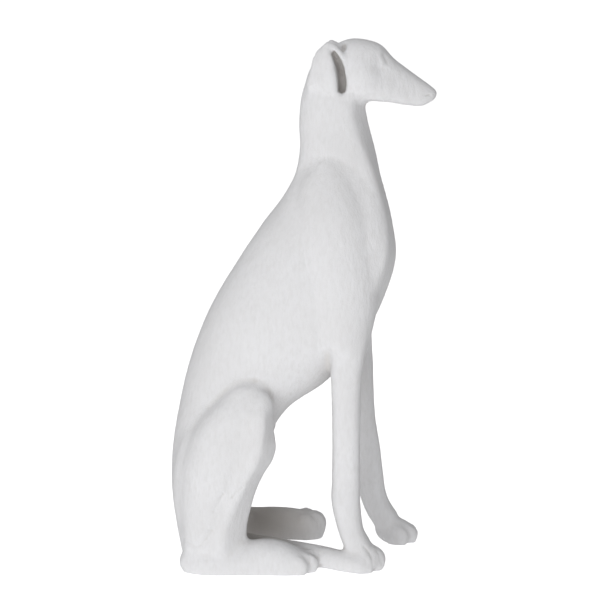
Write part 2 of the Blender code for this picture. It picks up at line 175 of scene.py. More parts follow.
def aimed(thing: bpy.types.Object, place: Vector, target: Vector) -> None:
    """Puts a light or camera into the scene so that it looks at the target.

    Args:
        thing: The light or camera.
        place: Where it stands.
        target: What it looks at.
    """
    thing.location = place
    thing.rotation_euler = (target - place).to_track_quat("-Z", "Y").to_euler()
    bpy.context.scene.collection.objects.link(thing)


class Clay:
    """A lump of overlapping closed forms that will be fused into one skin."""

    def __init__(self, start: bpy.types.Mesh | None = None) -> None:
        """Starts empty, or round an earlier skin that is fused in at the end."""
        self.work = bmesh.new()
        self.start = start

    def add_mesh(self, mesh: bpy.types.Mesh) -> None:
        """Adds a finished closed mesh."""
        self.work.from_mesh(mesh)

    def add_skin(self, rings: list[np.ndarray], caps: tuple[float, float]) -> None:
        """Adds one tapered form.

        Args:
            rings: Its cross-sections in order, each with the same number of points.
            caps: How far the domes at its two ends stand out, in metres.
        """
        rings = [np.array(r, float) for r in rings]
        centres = [r.mean(axis=0) for r in rings]
        for end, cap in ((0, caps[0]), (-1, caps[1])):
            inner = 1 if end == 0 else -2
            outward = centres[end] - centres[inner]
            outward /= np.linalg.norm(outward)
            dome = []
            for angle in (math.radians(degrees) for degrees in DOME_DEGREES):
                shrunk = centres[end] + (rings[end] - centres[end]) * math.cos(angle)
                dome.append(shrunk + outward * cap * math.sin(angle))
            rings = dome[::-1] + rings if end == 0 else rings + dome
            centres = [r.mean(axis=0) for r in rings]
        loops = [[self.work.verts.new(p) for p in ring] for ring in rings]
        count = len(loops[0])
        for low, high in zip(loops, loops[1:]):
            for i in range(count):
                j = (i + 1) % count
                self.work.faces.new((low[i], low[j], high[j], high[i]))
        self.work.faces.new(loops[0][::-1])
        self.work.faces.new(loops[-1])

    def add_profile(
        self,
        stations: list[Station],
        width: float,
        caps: tuple[float, float],
        back: float | None = None,
        keels: list[float] | None = None,
    ) -> None:
        """Adds a form given by its side outline.

        Args:
            stations: For each, (x, z) of one edge, (x, z) of the other and the middle's y, in
                parts, then its width as a share of width, its lean and its squareness.
            width: The full width, in metres.
            caps: The domes at its ends, in parts.
            back: The squareness towards the first edge, where it differs.
            keels: Each station's keel along the second edge, where it has one.
        """
        rows = []
        for (a, b, y, share, lean, square), keel in zip(stations, keels or [0.0] * len(stations)):
            middle = ((a[0] + b[0]) / 2, y, (a[1] + b[1]) / 2)
            half = ((b[0] - a[0]) / 2, (b[1] - a[1]) / 2)
            rows.append((*middle, *half, share, lean, square, keel))
        rings = []
        for x, y, z, dx, dz, share, lean, square, keel in smooth_rows(rows, 6):
            centre, depth = np.array([x, y, z]) * PART, np.array([dx, 0.0, dz]) * PART
            across = np.array([0.0, share * width / 2, 0.0])
            rings.append(oval(centre, depth, across, lean, (back or square, square), keel=keel))
        self.add_skin(rings, (caps[0] * PART, caps[1] * PART))

    def add_limb(
        self,
        stations: Rows,
        caps: tuple[float, float],
        side: Side,
        shift: float = 0.0,
        squareness: float = 2.2,
    ) -> None:
        """Adds a form round a path.

        Args:
            stations: x, y, z, half depth and half width of each, in parts.
            caps: The domes at its ends, in parts.
            side: The side it is on.
            shift: How far out it stands, in metres.
            squareness: How boxy its cross-section is.
        """
        rows = smooth_rows(stations, 6) * PART
        rows[:, 1] = side.value * (rows[:, 1] + shift)
        rings = []
        for row, tangent in zip(rows, np.gradient(rows[:, :3], axis=0)):
            along = Vector(tangent).normalized()
            width = Vector((0.0, 1.0, 0.0))
            width = (width - along * width.dot(along)).normalized()
            depth = width.cross(along)
            across = np.array(width) * row[4]
            rings.append(oval(row[:3], np.array(depth) * row[3], across, 0.0, (squareness, squareness)))
        self.add_skin(rings, (caps[0] * PART, caps[1] * PART))

    def add_mass(
        self,
        centre: Triple,
        radii: Triple,
        turns: Triple = (0.0, 0.0, 0.0),
        side: Side = Side.LEFT,
    ) -> None:
        """Adds an egg-shaped mass.

        Args:
            centre: Its middle on the left side, in parts.
            radii: Its three half sizes, in parts.
            turns: Degrees about X, Y and Z, in that order.
            side: The side it is on, where RIGHT mirrors it.
        """
        turned = Matrix.Identity(4)
        for axis, degrees in zip("XYZ", turns):
            turned = Matrix.Rotation(math.radians(degrees), 4, axis) @ turned
        stretched = Matrix.Diagonal((*(Vector(radii) * PART), 1.0))
        place = Matrix.Translation(Vector(centre) * PART) @ turned @ stretched
        made = bmesh.ops.create_uvsphere(self.work, u_segments=36, v_segments=20, radius=1.0, matrix=place)
        if side is Side.RIGHT:
            bmesh.ops.scale(self.work, verts=made["verts"], vec=(1, -1, 1))
            faces = {face for vert in made["verts"] for face in vert.link_faces}
            bmesh.ops.reverse_faces(self.work, faces=list(faces))

    def cut_from(self, skin: bpy.types.Mesh) -> bpy.types.Mesh:
        """Cuts these forms out of a skin. Both are used up.

        Args:
            skin: The skin.

        Returns:
            The skin with the forms cut out of it.
        """
        cutter = bpy.data.meshes.new("cutter")
        self.work.to_mesh(cutter)
        self.work.free()
        tool, thing = placed("cutter", cutter), placed("skin", skin)
        cut = thing.modifiers.new("Cut", "BOOLEAN")
        cut.operation = "DIFFERENCE"
        cut.solver = "EXACT"
        cut.object = tool
        made = applied(thing)
        bpy.data.objects.remove(tool)
        bpy.data.meshes.remove(cutter)
        return made

    def fused(self, name: str, voxel: float, softening: int) -> bpy.types.Mesh:
        """Fuses the forms into one skin and softens it.

        Args:
            name: The new mesh's name.
            voxel: How fine the skin is, in metres.
            softening: How many smoothing passes it gets.

        Returns:
            The skin's mesh.
        """
        if self.start:
            self.work.from_mesh(self.start)
            bpy.data.meshes.remove(self.start)
        raw = bpy.data.meshes.new(name)
        self.work.to_mesh(raw)
        self.work.free()
        thing = placed(name, raw)
        fuse = thing.modifiers.new("Fuse", "REMESH")
        fuse.mode = "VOXEL"
        fuse.voxel_size = voxel
        soften = thing.modifiers.new("Soften", "SMOOTH")
        soften.factor = 0.5
        soften.iterations = softening
        skin = applied(thing)
        skin.name = name
        return skin


@dataclass(frozen=True)
class Stroke:
    """One stroke of the modelling tool along a side of the figure.

    Attributes:
        path: Its (x, z) points, in parts.
        half_width: How wide it is, in parts.
        depth: How deep it presses, in parts. Below 0 it raises a ridge.
        inner: The least distance from the middle plane that it reaches, in parts.
        outer: The greatest distance.
        sides: The sides that it is drawn on.
        facing: How far the skin has to face outward to take it.
    """

    path: list[Point]
    half_width: float
    depth: float
    inner: float = 0.0
    outer: float = 99.0
    sides: tuple[Side, ...] = (Side.RIGHT, Side.LEFT)
    facing: float = 0.0


def on_side(side: Side, strokes: list[Stroke]) -> list[Stroke]:
    """The strokes, drawn on one side alone."""
    return [replace(stroke, sides=(side,)) for stroke in strokes]


@dataclass
class ModellingTool:
    """Draws strokes on a skin.

    Attributes:
        skin: The skin, which is changed.
        fine: The half width, in parts, up to which a stroke needs smaller faces.
        spread: How many half widths those reach out from the stroke's path.
        border: How much further they reach, in metres.
    """

    skin: bpy.types.Mesh
    fine: float = 0.6
    spread: float = 2.2
    border: float = 0.003
    places: np.ndarray = field(init=False)
    normals: np.ndarray = field(init=False)

    def __post_init__(self) -> None:
        """Reads the skin's points."""
        self.read()

    def read(self) -> None:
        """Reads the skin's points and normals."""
        count = len(self.skin.vertices)
        places, normals = np.empty(count * 3), np.empty(count * 3)
        self.skin.vertices.foreach_get("co", places)
        self.skin.vertices.foreach_get("normal", normals)
        self.places, self.normals = places.reshape(-1, 3), normals.reshape(-1, 3)

    def reached(self, stroke: Stroke, side: Side, margin: float) -> tuple[np.ndarray, np.ndarray]:
        """Finds the points that a stroke reaches.

        Args:
            stroke: The stroke.
            side: The side it is drawn on.
            margin: How far it reaches, in metres.

        Returns:
            The points' indices, and how far each is from the stroke's path.
        """
        path = smooth_rows([(x, z) for x, z in stroke.path], 8) * PART
        low, high = path.min(axis=0) - margin, path.max(axis=0) + margin
        x, z = self.places[:, 0], self.places[:, 2]
        out = self.places[:, 1] * side.value / PART
        near = (x > low[0]) & (x < high[0]) & (z > low[1]) & (z < high[1])
        near &= (out >= stroke.inner) & (out <= stroke.outer)
        near &= self.normals[:, 1] * side.value > stroke.facing
        found = np.flatnonzero(near)
        away = self.places[found][:, None, [0, 2]] - path[None]
        return found, np.sqrt((away**2).sum(axis=2)).min(axis=1, initial=np.inf)

    def refine(self, strokes: list[Stroke]) -> None:
        """Splits the skin's faces in four where the finer strokes will go.

        Args:
            strokes: The strokes, coarse ones too.
        """
        wanted = np.zeros(len(self.places), bool)
        for stroke in strokes:
            if stroke.half_width > self.fine:
                continue
            for side in stroke.sides:
                margin = self.spread * stroke.half_width * PART + self.border
                found, away = self.reached(stroke, side, margin)
                wanted[found[away < margin]] = True
        work = bmesh.new()
        work.from_mesh(self.skin)
        work.verts.ensure_lookup_table()
        faces = {face for i in np.flatnonzero(wanted) for face in work.verts[i].link_faces}
        edges = list({edge for face in faces for edge in face.edges})
        bmesh.ops.subdivide_edges(work, edges=edges, cuts=1, use_grid_fill=True)
        work.to_mesh(self.skin)
        work.free()
        self.read()

    def draw(self, strokes: list[Stroke]) -> None:
        """Presses these strokes into the skin together.

        Args:
            strokes: The strokes.
        """
        push = np.zeros(len(self.places))
        for stroke in strokes:
            wide = stroke.half_width * PART
            for side in stroke.sides:
                found, away = self.reached(stroke, side, 3 * wide)
                fade = np.clip((self.normals[found, 1] * side.value - stroke.facing) * 4, 0, 1)
                push[found] += stroke.depth * PART * fade * np.exp(-((away / wide) ** 2))
        self.places = self.places - self.normals * push[:, None]
        self.skin.vertices.foreach_set("co", self.places.ravel())
        self.skin.update()
        self.read()


class Wiring:
    """Adds nodes to one tree and joins them."""

    def __init__(self, tree: bpy.types.NodeTree) -> None:
        """Works on this tree."""
        self.tree = tree

    def feed(self, node: bpy.types.Node, feeds: Feeds) -> None:
        """Gives a node's inputs their sockets or values.

        Args:
            node: The node.
            feeds: Input name or number to the socket or value that it gets.
        """
        for label, feed in feeds.items():
            if isinstance(feed, Socket):
                self.tree.links.new(feed, node.inputs[label])
            else:
                node.inputs[label].default_value = feed

    def wire(self, kind: str, feeds: Feeds, **settings: object) -> bpy.types.Node:
        """Adds a node.

        Args:
            kind: Its type.
            feeds: Input name or number to the socket or value that it gets.
            **settings: Properties of the node.

        Returns:
            The new node.
        """
        node = self.tree.nodes.new(kind)
        for name, value in settings.items():
            setattr(node, name, value)
        self.feed(node, feeds)
        return node


class NodeTree(Wiring):
    """A Geometry Nodes tree that takes a mesh and ends in real geometry with one material."""

    def __init__(self, name: str, inputs: dict[str, tuple[str, object]]) -> None:
        """Starts the tree.

        Args:
            name: The tree's name.
            inputs: Name to (socket type, default value) of each size it takes.
        """
        super().__init__(bpy.data.node_groups.new(name, "GeometryNodeTree"))
        face = self.tree.interface
        face.new_socket("Geometry", in_out="INPUT", socket_type="NodeSocketGeometry")
        self.sockets: dict[str, str] = {}
        for label, (kind, value) in inputs.items():
            socket = face.new_socket(label, in_out="INPUT", socket_type=kind)
            if value is not None:
                socket.default_value = value
            self.sockets[label] = socket.identifier
        face.new_socket("Geometry", in_out="OUTPUT", socket_type="NodeSocketGeometry")
        self.given = self.tree.nodes.new("NodeGroupInput")

    def add(self, kind: str, *feeds: object, **settings: object) -> bpy.types.Node:
        """Adds a node whose inputs are given in order.

        Args:
            kind: Its type.
            *feeds: For each input, a socket, a value, or None to leave it alone.
            **settings: Properties of the node.

        Returns:
            The new node.
        """
        node = self.wire(kind, {}, **settings)
        for socket, feed in zip([s for s in node.inputs if s.enabled], feeds):
            if isinstance(feed, Socket):
                self.tree.links.new(feed, socket)
            elif feed is not None:
                socket.default_value = feed
        return node

    def math(self, operation: str, *feeds: object) -> Socket:
        """A Math node's result."""
        return self.add("ShaderNodeMath", *feeds, operation=operation).outputs[0]

    def close(self, geometry: Socket) -> None:
        """Ends the tree in Realize Instances and Set Material.

        Args:
            geometry: The geometry that the tree has made.
        """
        real = self.add("GeometryNodeRealizeInstances", geometry)
        dressed = self.add("GeometryNodeSetMaterial", real.outputs[0], None, self.given.outputs["Material"])
        end = self.tree.nodes.new("NodeGroupOutput")
        self.tree.links.new(dressed.outputs[0], end.inputs[0])

    def made(self, thing: bpy.types.Object, values: dict[str, object]) -> bpy.types.Mesh:
        """Runs the tree on an object.

        Args:
            thing: The object, which is used up.
            values: Input name to its value.

        Returns:
            The mesh that comes out.
        """
        modifier = thing.modifiers.new(self.tree.name, "NODES")
        modifier.node_group = self.tree
        for label, value in values.items():
            modifier[self.sockets[label]] = value
        thing.update_tag()
        bpy.context.view_layer.update()
        return applied(thing)


class ToeFan:
    """Lays a foot's toes in a fan with Geometry Nodes. The middle pair stands further forward."""

    def __init__(self) -> None:
        """Builds the tree."""
        self.nodes = NodeTree("Toe fan", {
            "Toes": ("NodeSocketInt", 4),
            "Ball": ("NodeSocketVector", (0.0, 0.0, 0.0)),
            "Length": ("NodeSocketFloat", 0.02),
            "Step": ("NodeSocketFloat", 0.0125),
            "Height": ("NodeSocketFloat", 0.018),
            "Splay": ("NodeSocketFloat", math.radians(7)),
            "Tilt": ("NodeSocketFloat", math.radians(12)),
            "Set back": ("NodeSocketFloat", 0.7),
            "Plumpness": ("NodeSocketFloat", 0.62),
            "Side": ("NodeSocketFloat", 1.0),
            "Material": ("NodeSocketMaterial", None),
        })
        add, maths, given = self.nodes.add, self.nodes.math, self.nodes.given.outputs
        index = add("GeometryNodeInputIndex").outputs[0]
        middle = maths("MULTIPLY", maths("SUBTRACT", given["Toes"], 1.0), 0.5)
        place = maths("SUBTRACT", index, middle)
        outer = maths("GREATER_THAN", maths("ABSOLUTE", place), 1.0)
        set_back = maths("MULTIPLY", outer, given["Set back"])
        forward = maths("MULTIPLY", maths("MULTIPLY", set_back, given["Length"]), -1.0)
        across = maths("MULTIPLY", maths("MULTIPLY", place, given["Step"]), given["Side"])
        shift = add("ShaderNodeCombineXYZ", forward, across, 0.0).outputs[0]
        spot = add("ShaderNodeVectorMath", given["Ball"], shift, operation="ADD").outputs[0]
        points = add("GeometryNodePoints", given["Toes"], spot, 0.01).outputs[0]
        toe = add("GeometryNodeMeshUVSphere", 28, 16, 1.0).outputs[0]
        splay = maths("MULTIPLY", maths("MULTIPLY", place, given["Splay"]), given["Side"])
        turn = add("ShaderNodeCombineXYZ", 0.0, given["Tilt"], splay).outputs[0]
        thick = maths("MULTIPLY", given["Step"], given["Plumpness"])
        size = add("ShaderNodeCombineXYZ", given["Length"], thick, given["Height"]).outputs[0]
        feeds = {"Points": points, "Instance": toe, "Rotation": turn, "Scale": size}
        fan = self.nodes.wire("GeometryNodeInstanceOnPoints", feeds)
        self.nodes.close(fan.outputs[0])

    def lay(
        self,
        clay: Clay,
        ball: Triple,
        length: float,
        step: float,
        height: float,
        side: Side,
        plumpness: float = 0.62,
    ) -> None:
        """Adds one foot's toes to the clay.

        Args:
            clay: What they are added to.
            ball: The ball of the foot on the left side, in parts.
            length: A toe's half length, in parts.
            step: From one toe to the next, in metres.
            height: A toe's half height, in parts.
            side: The foot's side.
            plumpness: A toe's half width as a share of the step. More of it leaves shallower gaps.
        """
        seed = placed("toes", bpy.data.meshes.new("toes"))
        centre = Vector(ball) * PART
        centre.y *= side.value
        mesh = self.nodes.made(seed, {
            "Ball": tuple(centre),
            "Length": length * PART,
            "Step": step,
            "Height": height * PART,
            "Side": float(side.value),
            "Plumpness": plumpness,
        })
        clay.add_mesh(mesh)
        bpy.data.meshes.remove(mesh)


class TailTube:
    """Draws the tail as a tube along its path with Geometry Nodes."""

    def __init__(self) -> None:
        """Builds the tree."""
        self.nodes = NodeTree("Tail tube", {
            "Thickness": ("NodeSocketFloat", 1.0),
            "Sides": ("NodeSocketInt", 28),
            "Material": ("NodeSocketMaterial", None),
        })
        add, given = self.nodes.add, self.nodes.given.outputs
        line = add("GeometryNodeMeshToCurve", given["Geometry"]).outputs[0]
        radius = add("GeometryNodeInputNamedAttribute", "half_width", data_type="FLOAT").outputs[0]
        scale = self.nodes.math("MULTIPLY", radius, given["Thickness"])
        round_bar = {"Resolution": given["Sides"], "Radius": 1.0}
        circle = self.nodes.wire("GeometryNodeCurvePrimitiveCircle", round_bar).outputs[0]
        feeds = {"Curve": line, "Profile Curve": circle, "Scale": scale, "Fill Caps": True}
        tube = self.nodes.wire("GeometryNodeCurveToMesh", feeds)
        self.nodes.close(tube.outputs[0])

    def drawn(self, path: np.ndarray, radii: np.ndarray) -> bpy.types.Mesh:
        """The closed tube along a path.

        Args:
            path: Its points, in metres.
            radii: The tube's radius at each.

        Returns:
            The tube's mesh.
        """
        line = bpy.data.meshes.new("tail_line")
        line.from_pydata(path.tolist(), [(i, i + 1) for i in range(len(path) - 1)], [])
        half_width = line.attributes.new("half_width", "FLOAT", "POINT")
        half_width.data.foreach_set("value", radii.astype(np.float32))
        return self.nodes.made(placed("tail", line), {})


class HandWorkedSkin:
    """Makes the finished skin slightly uneven, as plaster worked by hand is, with Geometry Nodes."""

    def __init__(self) -> None:
        """Builds the tree."""
        self.nodes = NodeTree("Hand-worked skin", {
            "Swell": ("NodeSocketFloat", 0.0006),
            "Swells per metre": ("NodeSocketFloat", 22.0),
            "Chatter": ("NodeSocketFloat", 0.00030),
            "Chatter per metre": ("NodeSocketFloat", 130.0),
            "Floor": ("NodeSocketFloat", 0.004),
            "Material": ("NodeSocketMaterial", None),
        })
        add, maths, given = self.nodes.add, self.nodes.math, self.nodes.given.outputs
        place = add("GeometryNodeInputPosition").outputs[0]
        normal = add("GeometryNodeInputNormal").outputs[0]
        height = add("ShaderNodeSeparateXYZ", place).outputs[2]
        swell = self.wave(place, given["Swells per metre"], given["Swell"], 1.0)
        chatter = self.wave(place, given["Chatter per metre"], given["Chatter"], 2.0)
        clear = maths("MINIMUM", maths("MAXIMUM", maths("DIVIDE", height, given["Floor"]), 0.0), 1.0)
        amount = maths("MULTIPLY", maths("ADD", swell, chatter), clear)
        offset = self.nodes.wire("ShaderNodeVectorMath", {0: normal, "Scale": amount}, operation="SCALE")
        feeds = {"Geometry": given["Geometry"], "Offset": offset.outputs[0]}
        moved = self.nodes.wire("GeometryNodeSetPosition", feeds)
        self.nodes.close(moved.outputs[0])

    def wave(self, place: Socket, rate: Socket, size: Socket, detail: float) -> Socket:
        """An even noise about zero.

        Args:
            place: Where it is read.
            rate: Its waves per metre.
            size: Its height.
            detail: How much finer noise it carries.

        Returns:
            The socket with its value.
        """
        noise = self.nodes.wire("ShaderNodeTexNoise", {"Vector": place, "Scale": rate, "Detail": detail})
        centred = self.nodes.math("MULTIPLY", self.nodes.math("SUBTRACT", noise.outputs[0], 0.5), 2.0)
        return self.nodes.math("MULTIPLY", centred, size)

    def worked(self, skin: bpy.types.Mesh, coat: bpy.types.Material) -> bpy.types.Mesh:
        """The skin with its unevenness, in its coat."""
        return self.nodes.made(placed("skin", skin), {"Material": coat})


@dataclass
class Trunk:
    """Rump, belly, rib cage, chest and neck."""

    chest_width: float = 0.156
    hip_width: float = 0.134
    neck_width: float = 0.076

    def model(self, clay: Clay) -> None:
        """Adds the trunk, whose breast has a flat front and whose back is round.

        Args:
            clay: What it is added to.
        """
        waist, neck = self.hip_width / self.chest_width, self.neck_width / self.chest_width
        keels = [0, 0, 0, 0, 0, 0, 0.06, 0.18, 0.16, 0.10, 0.14, 0.30, 0.42, 0.40, 0.20]
        clay.add_profile([
            ((-23.3, 0.5), (-12.4, 0.5), 0, 0.95 * waist, 0.0, 2.2),
            ((-24.5, 8.0), (-11.6, 8.4), 0, 1.10 * waist, -0.12, 2.2),
            ((-25.1, 16.0), (-9.4, 16.4), 0, 1.16 * waist, -0.26, 2.2),
            ((-24.7, 23.0), (-6.4, 23.6), 0, 1.12 * waist, -0.28, 2.2),
            ((-23.3, 31.3), (-2.0, 30.1), 0, 1.02 * waist, -0.22, 2.2),
            ((-21.4, 39.0), (4.6, 34.8), 0, 0.92, -0.12, 2.2),
            ((-17.8, 48.4), (10.4, 41.5), 0, 1.00, -0.06, 2.4),
            ((-12.3, 57.9), (15.8, 51.2), 0, 0.98, -0.06, 3.0),
            ((-7.1, 65.7), (18.1, 60.6), 0, 0.84, -0.04, 3.6),
            ((-3.5, 70.5), (16.9, 67.4), 0, 0.70, -0.02, 4.0),
            ((-1.1, 75.0), (15.2, 74.0), 0, 1.12 * neck, 0.0, 4.0),
            ((-0.3, 79.5), (14.1, 79.4), 0, 1.00 * neck, 0.0, 4.0),
            ((-0.4, 84.2), (12.9, 84.0), 0, 0.96 * neck, 0.0, 4.0),
            ((-0.1, 88.6), (12.2, 87.4), 0, 0.98 * neck, 0.0, 3.6),
            ((1.2, 93.4), (11.6, 90.4), 0, 0.98 * neck, 0.0, 2.6),
        ], self.chest_width, (2.0, 3.5), 2.1, keels)

    def strokes(self) -> list[Stroke]:
        """Lists the plane change down the throat and chest, and the shoulder blade's crease.

        Returns:
            The strokes.
        """
        return [
            Stroke([(0.8, 76.1), (2.4, 77.8), (4.7, 78.4), (6.7, 78.0), (9.4, 76.9), (11.3, 75.3),
                    (12.6, 72.9)], 1.0, 0.20, 2.0),
            Stroke([(11.2, 84.4), (12.0, 80.8), (13.5, 77.1), (15.0, 72.9), (15.7, 70.6), (16.5, 66.9),
                    (16.7, 63.2), (16.0, 59.0), (14.4, 54.7)], 0.8, -0.14, 1.5, facing=-0.2),
        ]


@dataclass
class Head:
    """Skull, cheeks, brows and the long muzzle."""

    skull_width: float = 0.078

    def model(self, clay: Clay) -> None:
        """Adds skull, muzzle and cheeks.

        Args:
            clay: What it is added to.
        """
        clay.add_profile([
            ((6.0, 98.8), (7.6, 88.8), 0, 0.90, 0.02, 2.4),
            ((9.2, 100.0), (10.6, 88.3), 0, 1.00, 0.05, 2.9),
            ((12.4, 99.75), (12.9, 88.5), 0, 0.96, 0.06, 3.3),
            ((14.9, 98.8), (14.9, 88.4), 0, 0.85, 0.08, 3.6),
            ((17.0, 96.5), (16.9, 88.3), 0, 0.72, 0.10, 3.6),
            ((19.1, 94.9), (18.6, 87.9), 0, 0.62, 0.10, 3.6),
            ((21.3, 93.3), (20.6, 87.7), 0, 0.51, 0.08, 3.4),
            ((23.5, 91.8), (22.4, 87.5), 0, 0.42, 0.05, 3.0),
            ((25.3, 90.5), (23.8, 88.2), 0, 0.32, 0.0, 2.4),
        ], self.skull_width, (1.5, 0.6))
        for side in Side:
            clay.add_mass((11.6, 2.5, 93.4), (3.7, 2.9, 4.6), (0, -8, 0), side)

    def model_brows(self, clay: Clay) -> None:
        """Adds the brow above each eye."""
        for side in Side:
            clay.add_mass((14.9, 2.9, 96.8), (1.1, 0.75, 0.5), (0, 60, -12), side)

    def strokes(self) -> list[Stroke]:
        """Lists the hollows by each brow, the lips, the nostrils and the cheeks' lower edge.

        Returns:
            The strokes.
        """
        return [
            Stroke([(15.5, 97.2), (16.1, 95.9)], 0.45, 0.22, 1.2, facing=-0.3),
            Stroke([(14.4, 95.0), (15.2, 94.7)], 0.70, 0.16, 1.5),
            Stroke([(13.9, 97.4), (14.6, 95.9)], 0.40, 0.08, 1.5),
            Stroke([(23.2, 89.6), (23.9, 89.8)], 0.18, 0.24),
            Stroke([(19.0, 88.9), (21.2, 88.6), (23.2, 88.7)], 0.20, 0.04),
            Stroke([(8.3, 88.7), (10.0, 88.7), (11.8, 89.1), (13.7, 89.8), (15.5, 90.2)], 0.55, 0.12, 1.5),
        ]


@dataclass
class Ear:
    """A folded ear: a leaf that stands against the nape, and the rim that ties it to the skull."""

    side: Side
    thickness: float = 0.011

    def model(self, clay: Clay) -> None:
        """Adds the leaf, its rim and the web between them.

        Args:
            clay: What it is added to.
        """
        half = self.thickness / 2 / PART
        leaf = []
        for front, back, z, share in (
            ((5.5, 4.5), (4.5, 4.0), 99.1, 0.80), ((5.9, 5.1), (3.2, 3.7), 98.0, 0.95),
            ((6.4, 5.5), (2.2, 3.5), 96.3, 1.0), ((6.9, 5.7), (1.7, 3.4), 94.0, 1.0),
            ((7.2, 5.6), (1.1, 3.3), 92.0, 1.0), ((6.8, 4.5), (1.6, 2.9), 89.6, 0.9),
        ):
            start, end = Vector((*front, z)), Vector((*back, z))
            depth = (start - end) / 2
            sideways = depth.cross(Vector((0, 0, 1))).normalized() * half * share
            middle = np.array((start + end) / 2)
            ring = oval(middle, np.array(depth), np.array(sideways), 0.1, (2.4, 2.4), 32)
            leaf.append(ring * (1, self.side.value, 1) * PART)
        if self.side is Side.RIGHT:
            leaf = [ring[::-1] for ring in leaf]
        clay.add_skin(leaf, (0.7 * PART, 1.2 * PART))
        rim = [(5.0, 4.2, 99.2, 0.6, 0.6), (6.3, 4.5, 98.6, 0.6, 0.7), (7.8, 4.5, 97.0, 0.6, 0.7)]
        clay.add_limb(rim, (0.5, 0.6), self.side)
        clay.add_mass((6.1, 3.3, 96.4), (1.7, 1.3, 2.2), (0, 0, 20), self.side)

    def hollow(self, clay: Clay) -> None:
        """Adds what is cut out of the skin: a slot that widens downward, and the notch over the rim.

        Args:
            clay: What is cut out of the skin.
        """
        slot = [
            (5.9, 5.4, 98.3, 0.35, 2.0), (6.9, 5.3, 96.3, 0.60, 3.0), (7.5, 5.2, 94.7, 0.72, 3.5),
            (7.8, 5.2, 93.1, 0.76, 3.6), (7.9, 5.2, 91.6, 0.74, 3.6), (7.8, 5.2, 90.3, 0.68, 3.4),
        ]
        clay.add_limb(slot, (0.4, 0.2), self.side, 0.0, 3.0)
        notch = [(7.5, 3.6, 99.9, 0.80, 2.3), (7.9, 4.2, 98.9, 0.65, 2.2), (8.3, 4.8, 97.5, 0.32, 1.6)]
        clay.add_limb(notch, (0.6, 0.3), self.side, 0.0, 2.4)

    def strokes(self) -> list[Stroke]:
        """The leaf's root."""
        return on_side(self.side, [Stroke([(2.6, 90.6), (4.4, 90.0), (6.0, 89.6)], 0.6, 0.08, 2.4)])


